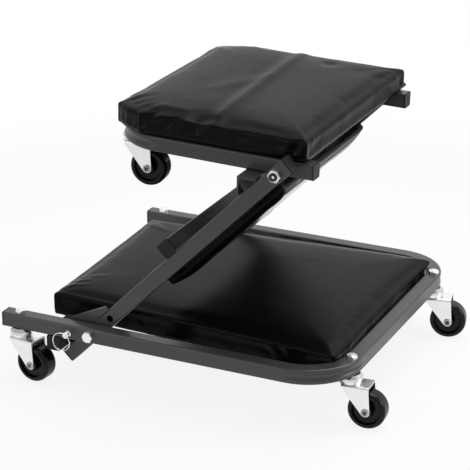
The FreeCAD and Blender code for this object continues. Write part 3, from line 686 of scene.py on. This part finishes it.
def base_folds(places, pad):
    """Sagging long sides, creases that spread from the left corners and tucks by the right ones."""
    crisp_corners(places, pad, [(pad.x0, pad.half_left)], 8 * mm)
    far = np.clip((places[:, 1] / pad.half_left + 1) / 2, 0, 1)
    left = np.clip(1 - (places[:, 0] - pad.x0) / pulled_reach, 0, 1)
    places[:, 0] -= far_corner_pull * far * left
    low = np.clip((pad.floor + sag_top - places[:, 2]) / sag_fade_up, 0, 1)
    outer = np.clip((np.abs(places[:, 1]) - sag_start) / sag_fade_in, 0, 1)
    places[:, 2] -= hem_sag * low * outer
    for start, end, width, height in (((-88, -132), (-58, -120), 4.5, 1.1),
                                      ((-88, -124), (-60, -104), 5.0, 1.1),
                                      ((-88, -108), (-46, -84), 6.0, 0.7),
                                      ((-84, 118), (-50, 100), 6.0, 0.8),
                                      ((60, 158), (270, 168), 14.0, 2.4),
                                      ((-86, -146), (30, -152), 3.0, 0.9)):
        line = [(x * mm, y * mm) for x, y in (start, end)]
        fold_top(places, pad, *line, width * mm, height * mm, 0.5 * height * mm)
    for face in (near_face, far_face):
        press_folds(places, face, (
            (-70, 12, 0.5, 6, 1.0), (-30, 12, -0.4, 12, -0.8), (60, 12, 0.5, 16, 0.7),
            (150, 12, -0.5, 14, -0.7), (238, 8, -0.9, 6, 1.2), (250, 8, -0.7, 5, -1.2),
            (262, 9, -0.8, 5, 1.2), (276, 10, -0.7, 5, -0.8)))
    for face, lean_way in ((right_face, 1), (left_face, -1)):
        press_folds(places, face, [
            (y, up, lean_way * lean, width, depth) for y, up, lean, width, depth in (
                (-120, 10, 0.6, 7, 0.6), (-60, 12, -0.4, 14, -0.7), (30, 12, 0.5, 16, 0.7),
                (118, 10, -0.6, 7, 0.7))])


def middle_folds(places, pad):
    """A quiet pad: a few pulls by its corners."""
    crisp_corners(places, pad, [(pad.x0, pad.half_left), (pad.x1, pad.half_right)], 8 * mm)
    far = np.clip((1 - places[:, 1] / pad.half_left) / 2, 0, 1)
    low_end = np.clip(1 - (places[:, 0] - pad.x0) / low_end_reach, 0, 1)
    places[:, 0] += low_end_draw * far * low_end
    for face in (near_face, far_face):
        press_folds(places, face, (
            (112, 10, 0.5, 6, 1.0), (128, 10, 0.6, 6, -1.0), (206, 10, 0.4, 16, 0.6),
            (288, 10, -0.5, 6, -1.0), (300, 10, -0.6, 5, 1.0)))
        for x, y, inner_x, inner_y in ((104, 122, 140, 96), (306, 122, 270, 98)):
            side = face[1] * mm
            fold_top(places, pad, (x * mm, side * y), (inner_x * mm, side * inner_y), 6 * mm, 0.8 * mm)


cushion(base_pad, base_folds)
cushion(middle_pad, middle_folds)
cushion(seat_pad, seat_folds)


# Underside of the pads: the cover's turned edge and its staples

hem_width = 24 * mm
hem_sheet = 0.8 * mm
pleats = 61
pleat_depth = 0.25 * mm
staple_gap = 27 * mm
staple_crown = 9 * mm
staple_wire = 0.45 * mm
most_askew = 0.5


def turned_edge(pad):
    """Vinyl folded under the board, with small pleats and a hand-cut inner edge."""
    rows = ((3.6 * mm, 2.4 * mm), (3.2 * mm, 0.6 * mm), (3.6 * mm, -0.3 * mm), (5.0 * mm, -hem_sheet),
            (0.6 * hem_width, -hem_sheet), (hem_width, -hem_sheet), (hem_width, 0.0))
    points = []
    for row, (inset, drop) in enumerate(rows):
        outline = pad_outline(pad, inset, True)
        for step, place in enumerate(outline):
            turn = 2 * math.pi * step / len(outline)
            cut = 0.0
            if row > 3:
                cut = 1.1 * mm * math.sin(9 * turn + 0.6) + 0.7 * mm * math.sin(23 * turn)
            pleat = pleat_depth * math.sin(pleats * turn) if 2 < row < 6 else 0.0
            inward = -place.normalized() * cut
            points.append(Vector((place.x + inward.x, place.y + inward.y,
                                  pad.floor + drop - abs(pleat))))
    count = len(points) // len(rows)
    mesh = mesh_of(pad.name + "_turned_edge", points, ring_faces(len(rows), count, False))
    piece(pad.name + "_turned_edge", mesh, vinyl, pad.body, pad.axes)


def staple(place, heading):
    """Crown and the tops of two legs."""
    across = Vector((math.cos(heading), math.sin(heading), 0)) * staple_crown / 2
    high = Vector((0, 0, 0.6 * mm))
    path = [place - across + high, place - across, place - 0.9 * across - high * 0.4,
            place + 0.9 * across - high * 0.4, place + across, place + across + high]
    return swept(path, [staple_wire] * len(path), Vector((0.01, 0.02, 1)), sides=6)


def staples(pad):
    """Staples along the turned edge, each a little askew."""
    outline = pad_outline(pad, 0.6 * hem_width, True)
    parts = []
    gone = 0.0
    for here, after in zip(outline, outline[1:] + outline[:1]):
        gone += (after - here).length
        if gone < staple_gap:
            continue
        gone = 0.0
        ahead = after - here
        heading = math.atan2(ahead.y, ahead.x) + chance.uniform(-most_askew, most_askew)
        place = Vector((here.x, here.y, pad.floor - hem_sheet - 0.35 * mm))
        parts.append(staple(place, heading))
    mesh = joined(pad.name + "_staples", parts)
    piece(pad.name + "_staples", mesh, zinc, pad.body, pad.axes)


for pad in (base_pad, middle_pad, seat_pad):
    turned_edge(pad)
    staples(pad)


# Weld beads under the paint

bead_pitch = 1.9 * mm


def bead(start, end, radius):
    """Rippled bead along a seam, with rounded ends."""
    start, end = Vector(start), Vector(end)
    length = (end - start).length
    steps = max(8, int(length / bead_pitch * 5))
    path, radii = [], []
    for step in range(steps + 1):
        share = step / steps
        wobble = Vector([0.12 * radius * math.sin(17 * share + turn) for turn in (0, 2, 4)])
        path.append(start.lerp(end, share) + wobble)
        ripple = abs(math.sin(math.pi * share * length / bead_pitch))
        end_fade = math.sqrt(max(0.05, 1 - max(0.0, 1 - min(share, 1 - share) * length / radius) ** 2))
        radii.append(radius * (0.78 + 0.22 * ripple) * end_fade)
    return swept(path, radii, Vector((0.13, 0.27, 0.95)).normalized())


def beads(name, material, body, axes, seams):
    """A bead on every seam, each given by its start, end and radius, and on its mirror image."""
    mirrored = [tuple((x, -y, z) for x, y, z in seam[:2]) + (seam[2],) for seam in seams]
    parts = [bead(*seam) for seam in seams + mirrored]
    piece(name, joined(name, parts), material, body, axes)


def own_box(name, axes):
    """A node's lowest and highest corners on other axes."""
    places = [axes.inverted() @ vertex.co for vertex in nodes[name].data.vertices]
    return (Vector([min(place[k] for place in places) for k in range(3)]),
            Vector([max(place[k] for place in places) for k in range(3)]))


def base_beads():
    """Round the stop tube's ends and along both edges of every strap's ends."""
    outer = own_box("base_frame", base_axes)[1].y
    inner = outer - tube
    stop_low, stop_high = own_box("base_stop_tube", base_axes)
    seams = [((x, -outer + 2 * mm, -half - 0.6 * mm), (x, -inner - 1 * mm, -half - 0.6 * mm), 2.0 * mm)
             for x in (stop_low.x + 0.9 * mm, stop_high.x - 0.9 * mm)]
    seams.append(((stop_low.x + 4 * mm, -inner, -half - 0.4 * mm),
                  (stop_high.x - 4 * mm, -inner, -half - 0.4 * mm), 1.7 * mm))
    strap_low, strap_high = own_box("base_straps", base_axes)
    strap_x = sorted({round((base_axes.inverted() @ vertex.co).x, 5)
                      for vertex in nodes["base_straps"].data.vertices
                      if abs((base_axes.inverted() @ vertex.co).y) > inner - 1 * mm})
    for left, right in zip(strap_x[::2], strap_x[1::2]):
        for level, short, radius in ((strap_low.z, 3 * mm, 1.5 * mm),
                                     (strap_high.z, 5 * mm, 1.3 * mm)):
            seams.append(((left + short, -inner, level), (right - short, -inner, level), radius))
    beads("base_welds", paint, "base", base_axes, seams)


def link_beads():
    """Round the tie tube's ends, along the gusset plates and at the board's straps."""
    low, high = own_box("link_near", link_axes)
    outer, inner = low.y, high.y
    tie_low, tie_high = own_box("link_tie_tube", link_axes)
    seams = [((x, outer + 0.5 * mm, half + 0.5 * mm), (x, inner, half + 0.5 * mm), 1.9 * mm)
             for x in (tie_low.x + 0.8 * mm, tie_high.x - 0.8 * mm)]
    seams.append(((tie_low.x + 4 * mm, inner, half + 0.4 * mm),
                  (tie_high.x - 4 * mm, inner, half + 0.4 * mm), 1.7 * mm))
    plate_low, plate_high = own_box("link_gussets", link_axes)
    plate_inner = outer + 4 * mm
    seams.append(((plate_low.x + 8 * mm, plate_inner, half + 0.3 * mm),
                  (plate_high.x - 3 * mm, plate_inner, half + 0.3 * mm), 1.7 * mm))
    seams.append(((plate_high.x - 1 * mm, outer + 0.6 * mm, half + 0.5 * mm),
                  (plate_high.x - 1 * mm, plate_inner, half + 0.5 * mm), 1.6 * mm))
    for strap in (120 * mm, 280 * mm):
        seams.append(((strap - 11 * mm, inner, half - 0.2 * mm),
                      (strap + 11 * mm, inner, half - 0.2 * mm), 1.4 * mm))
    # The link beads take the paler paint, as a painted highlight.
    beads("link_welds", highlit_bead_paint, "links", link_axes, seams)


def seat_beads():
    """Along both edges of the stop angle's ends."""
    outer = own_box("seat_frame", seat_axes)[1].y
    inner = outer - tube
    iron_low, iron_high = own_box("seat_stop_angle", seat_axes)
    seams = [((x, -outer + 1 * mm, -half - 0.4 * mm), (x, -inner - 1 * mm, -half - 0.4 * mm), 1.7 * mm)
             for x in (iron_low.x + 0.2 * mm, iron_high.x - 0.2 * mm)]
    # The seat's beads take the darker copy of the frame paint, as painted shade.
    beads("seat_welds", shaded_seat_paint, "seat", seat_axes, seams)


base_beads()
link_beads()
seat_beads()


# Split pull rings: two turns of wire, sprung a little apart at their ends

ring_wire = 0.52 * mm
ring_spread = 0.50 * mm
ring_steps = 96


def split_ring(side, sign):
    swing = joints["ring_" + side + "_swing"]
    name = "pull_ring_" + side
    low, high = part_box(name)
    centre = (low + high) / 2
    radius = (high.z - low.z) / 2 - 0.8 * mm
    hinge = Vector(swing["pos_m"])
    first = math.atan2(hinge.z - centre.z, hinge.x - centre.x) + math.radians(200)
    path = []
    for step in range(2 * ring_steps + 1):
        share = step / (2 * ring_steps)
        turn = first + 4 * math.pi * share
        shift = ring_spread * (2 * share - 1)
        flare = 0.9 * mm * (max(0.0, 1 - share * 14) + max(0.0, share * 14 - 13))
        reach = radius + flare * 0.6
        path.append(Vector((centre.x + reach * math.cos(turn), centre.y + sign * (shift + flare * 0.4),
                            centre.z + reach * math.sin(turn))))
    mesh = mesh_of("split_ring_" + side, *swept(path, [ring_wire] * len(path), Vector(y_axis)))
    ring = piece("split_ring_" + side, mesh, bright, name)
    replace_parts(ring, name)


split_ring("near", -1)
split_ring("far", 1)


# Fasteners and wheels at the sizes that the photograph shows

def loose_parts(mesh):
    """Numbers of the vertices of each separate solid of a mesh."""
    parent = list(range(len(mesh.vertices)))

    def root(index):
        while parent[index] != index:
            parent[index] = parent[parent[index]]
            index = parent[index]
        return index

    welded = {}
    for vertex in mesh.vertices:
        key = tuple(round(value, 6) for value in vertex.co)
        parent[root(vertex.index)] = root(welded.setdefault(key, vertex.index))
    for edge in mesh.edges:
        parent[root(edge.vertices[0])] = root(edge.vertices[1])
    groups = {}
    for vertex in mesh.vertices:
        groups.setdefault(root(vertex.index), []).append(vertex.index)
    return [np.array(group) for group in groups.values()]


def slimmer(name, axis, radial, lengthwise, seat, material, body):
    """A node's solids, scaled round their own axes and along them from the level where they sit."""
    mesh = nodes[name].data.copy()
    places = coordinates(mesh)
    axis = np.array(axis)
    for group in loose_parts(mesh):
        part = places[group]
        centre = (part.min(axis=0) + part.max(axis=0)) / 2
        along = (part - centre) @ axis
        level = seat(along)
        beyond = np.where(along > level, level + (along - level) * lengthwise, along)
        across = part - centre - along[:, None] * axis
        share = np.where(along > level - 0.01 * mm, radial, 1.0)
        places[group] = centre + beyond[:, None] * axis + across * share[:, None]
    set_coordinates(mesh, places)
    thing = piece(name + "_shown", mesh, material, body)
    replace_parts(thing, name)
    return thing


casters = ("front_near", "front_far", "rear_near", "rear_far", "seat_near", "seat_far")
# Each share is the size that the photograph shows over the solid's, in mm
pivot_share = 13 / 16
upper_nut_share = 14.5 / 16
nut_share = 12.5 / 15
nut_height_share = 4 / 7
stem_share = 0.8
stem_height_share = 4.8 / 8.5
wheel_share = 24 / 20
stem_above = 8.5 * mm
hub_radius = 9.6 * mm
bolt_end_cut = 1.8 * mm
link_end_cut = 3.2 * mm
# The cuts move these lengths as they are: a rim of the bolt and of the link, and the whole cap
bolt_rim = 2 * mm
link_rim = 3 * mm
cap_length = 15 * mm

for name in ("base_pivot_bolts", "base_pivot_washers", "base_pivot_nuts"):
    slimmer(name, y_axis, pivot_share, 1.0, np.min, zinc, "base")
bolts = slimmer("seat_pivot_bolts", y_axis, pivot_share, 1.0, np.min, dark_steel, "seat")
places = coordinates(bolts.data)
out = np.abs(places[:, 1])
places[:, 1] -= np.sign(places[:, 1]) * np.where(out > out.max() - bolt_rim, bolt_end_cut, 0)
set_coordinates(bolts.data, places)
slimmer("seat_pivot_nuts", y_axis, upper_nut_share, 1.0, np.min, zinc, "seat")
slimmer("seat_pivot_nylon_rings", y_axis, pivot_share, 1.0, np.min, nylon_black, "seat")
for body in ("base", "seat"):
    up = (0.0, 0.0, 1.0) if body == "base" else tuple(seat_up)
    slimmer(body + "_caster_nuts", up, nut_share, nut_height_share, np.min, zinc, body)
    slimmer(body + "_caster_stems", up, stem_share, stem_height_share,
            lambda along: np.max(along) - stem_above, zinc, body)
for name in casters:
    roll = np.array(joints[name + "_roll"]["axis"])
    mesh = nodes[name + "_wheel"].data.copy()
    places = coordinates(mesh)
    centre = (places.min(axis=0) + places.max(axis=0)) / 2
    along = (places - centre) @ roll
    rim = np.linalg.norm(places - centre - along[:, None] * roll, axis=1) > hub_radius
    places += np.where(rim, along * (wheel_share - 1), 0)[:, None] * roll
    set_coordinates(mesh, places)
    wheel = piece(name + "_wheel_shown", mesh, wheel_black, name + "_wheel")
    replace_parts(wheel, name + "_wheel")

link_end = own_box("link_near", link_axes)[1].x
for name, reach, material, slot in (("link_near", link_rim, paint, "frame_paint"),
                                    ("link_far", link_rim, paint, "frame_paint"),
                                    ("link_caps", cap_length, cap_black, "black_cap")):
    mesh = nodes[name].data.copy()
    places = coordinates(mesh)
    ahead = np.array(link_axes.to_3x3() @ Vector((1, 0, 0)))
    along = (places - np.array(link_axes.translation)) @ ahead
    places -= np.where(along > link_end - reach, link_end_cut, 0)[:, None] * ahead
    set_coordinates(mesh, places)
    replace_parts(piece(name + "_shown", mesh, material, "links"), name)


# Riveted ends of the axles, with dark rings as painted shade in their punched centres and round their
# rims, and bright discs as painted glints on the upper bolts' ends

painted_ring_rise = 0.06 * mm
painted_ring_sunk = 0.20 * mm
# Inner and outer radius: the painted shade in the punched centre and round the rim of a riveted end,
# and the painted glint on a bolt's end
rivet_shade_rings = ((0.3 * mm, 1.3 * mm), (2.6 * mm, 3.2 * mm))
bolt_glint_disc = (0.1 * mm, 1.7 * mm)


def flat_ring(centre, axis, inner, outer, steps=24):
    """A thin ring round an axis, sunk in at the back and a hair proud in front."""
    across = axis.orthogonal().normalized()
    over = axis.cross(across)
    points = []
    for radius, level in ((inner, -painted_ring_sunk), (outer, -painted_ring_sunk), (outer, painted_ring_rise),
                          (inner, painted_ring_rise), (inner, -painted_ring_sunk)):
        for step in range(steps):
            turn = 2 * math.pi * step / steps
            points.append(centre + radius * (math.cos(turn) * across + math.sin(turn) * over)
                          + level * axis)
    return points, ring_faces(5, steps, False)


def end_levels(name, axis):
    """Centre of a node's box and the levels of its two ends along an axis from there."""
    places = coordinates(nodes[name].data)
    centre = Vector((places.min(axis=0) + places.max(axis=0)) / 2)
    along = (places - np.array(centre)) @ np.array(axis)
    return centre, float(along.min()), float(along.max())


# Dark rings on each axle end: painted shade in the punched centre and round the rim.
for name in casters:
    roll = Vector(joints[name + "_roll"]["axis"])
    centre, low, high = end_levels(name + "_axle", roll)
    parts = [flat_ring(centre + level * roll, math.copysign(1, level) * roll, *radii)
             for level in (low, high) for radii in rivet_shade_rings]
    piece(name + "_axle_marks", joined(name + "_axle_marks", parts), dark_steel, name + "_swivel")
# A bright disc on each end of the upper bolts: a painted glint.
across = Vector(y_axis)
centre, low, high = end_levels("seat_pivot_bolts", across)
parts = [flat_ring(centre + level * across, math.copysign(1, level) * across, *bolt_glint_disc)
         for level in (low + bolt_end_cut, high - bolt_end_cut)]
piece("seat_bolt_marks", joined("seat_bolt_marks", parts), zinc, "seat")


# Finishes of the solids that stay as they are

def finish_of(name):
    if name.endswith("_board"):
        return wood
    if name.endswith("_caps"):
        return cap_black
    if name.endswith("_wheel"):
        return wheel_black
    if name.endswith("nylon_rings"):
        return nylon_black
    if name.startswith(("lock_pin", "pull_ring")):
        return bright
    # The seat's frame and stop angle take the darker copy of the frame paint, as painted shade.
    if name in ("seat_frame", "seat_stop_angle"):
        return shaded_seat_paint
    if name.endswith("_axle"):
        return dull_zinc
    if name.endswith("_races"):
        return race_zinc
    if name.endswith(("_frame", "_tube", "_straps", "_gussets")) or name in ("link_near", "link_far"):
        return paint
    return zinc


for name, node in nodes.items():
    if not node.material_slots:
        node.data.materials.append(None)
    for place in node.material_slots:
        place.material = finish_of(name)


# Floor, light and camera

room_light = 0.40
lit_point = (0, 0, 0.2)


def studio():
    """The floor, and a soft room that metal shows as white on the far side and dim on the near."""
    bpy.ops.mesh.primitive_plane_add(size=24.0)
    floor = bpy.context.object
    floor.name = "floor"
    floor.data.materials.append(studio_floor())

    world = Finish("studio", bpy.data.worlds)
    bpy.context.scene.world = world.material
    across = world.node("SeparateXYZ", {"Vector": world.node("TexCoord", {}, output="Generated")},
                        output="Y")
    behind = across.smooth(-0.35, 0.25)
    mirrored = (world.ray("Glossy") + world.ray("Transmission")) * (behind * 0.75 + 0.25)
    white = world.node("Background", {"Color": grey(1), "Strength": 1.0})
    soft = world.node("Background", {"Color": grey(1), "Strength": room_light})
    shown = world.ray("Camera").math("MAXIMUM", mirrored)
    mixed = world.node("MixShader", {0: shown, 1: soft, 2: white})
    world.node("OutputWorld", {"Surface": mixed})


def lamp(name, place, size, power):
    """A rectangular lamp at a place, turned to the lit point."""
    light = bpy.data.lights.new(name, "AREA")
    light.shape = "RECTANGLE"
    light.size, light.size_y = size
    light.energy = power
    thing = bpy.data.objects.new(name, light)
    bpy.context.scene.collection.objects.link(thing)
    thing.location = place
    thing.rotation_mode = "QUATERNION"
    thing.rotation_quaternion = (Vector(lit_point) - Vector(place)).to_track_quat("-Z", "Y")


studio()
lamp("top_light", (0.4, 0.7, 2.6), (2.0, 2.0), 45)
lamp("right_light", (2.4, 0.6, 1.0), (1.0, 1.0), 14)
lamp("near_light", (-1.2, -2.2, 0.9), (0.7, 0.7), 7)


def camera():
    data = bpy.data.cameras.new("camera")
    data.sensor_width = sensor_width
    data.lens = focal_pixels / frame_pixels * sensor_width
    data.clip_end = 50.0
    thing = bpy.data.objects.new("camera", data)
    bpy.context.scene.collection.objects.link(thing)
    back = Vector((math.sin(camera_azimuth) * math.cos(camera_elevation),
                   -math.cos(camera_azimuth) * math.cos(camera_elevation), math.sin(camera_elevation)))
    thing.location = camera_place
    thing.rotation_mode = "QUATERNION"
    thing.rotation_quaternion = (-back).to_track_quat("-Z", "Y")
    bpy.context.scene.camera = thing


camera()
bpy.context.scene.view_settings.view_transform = "Standard"
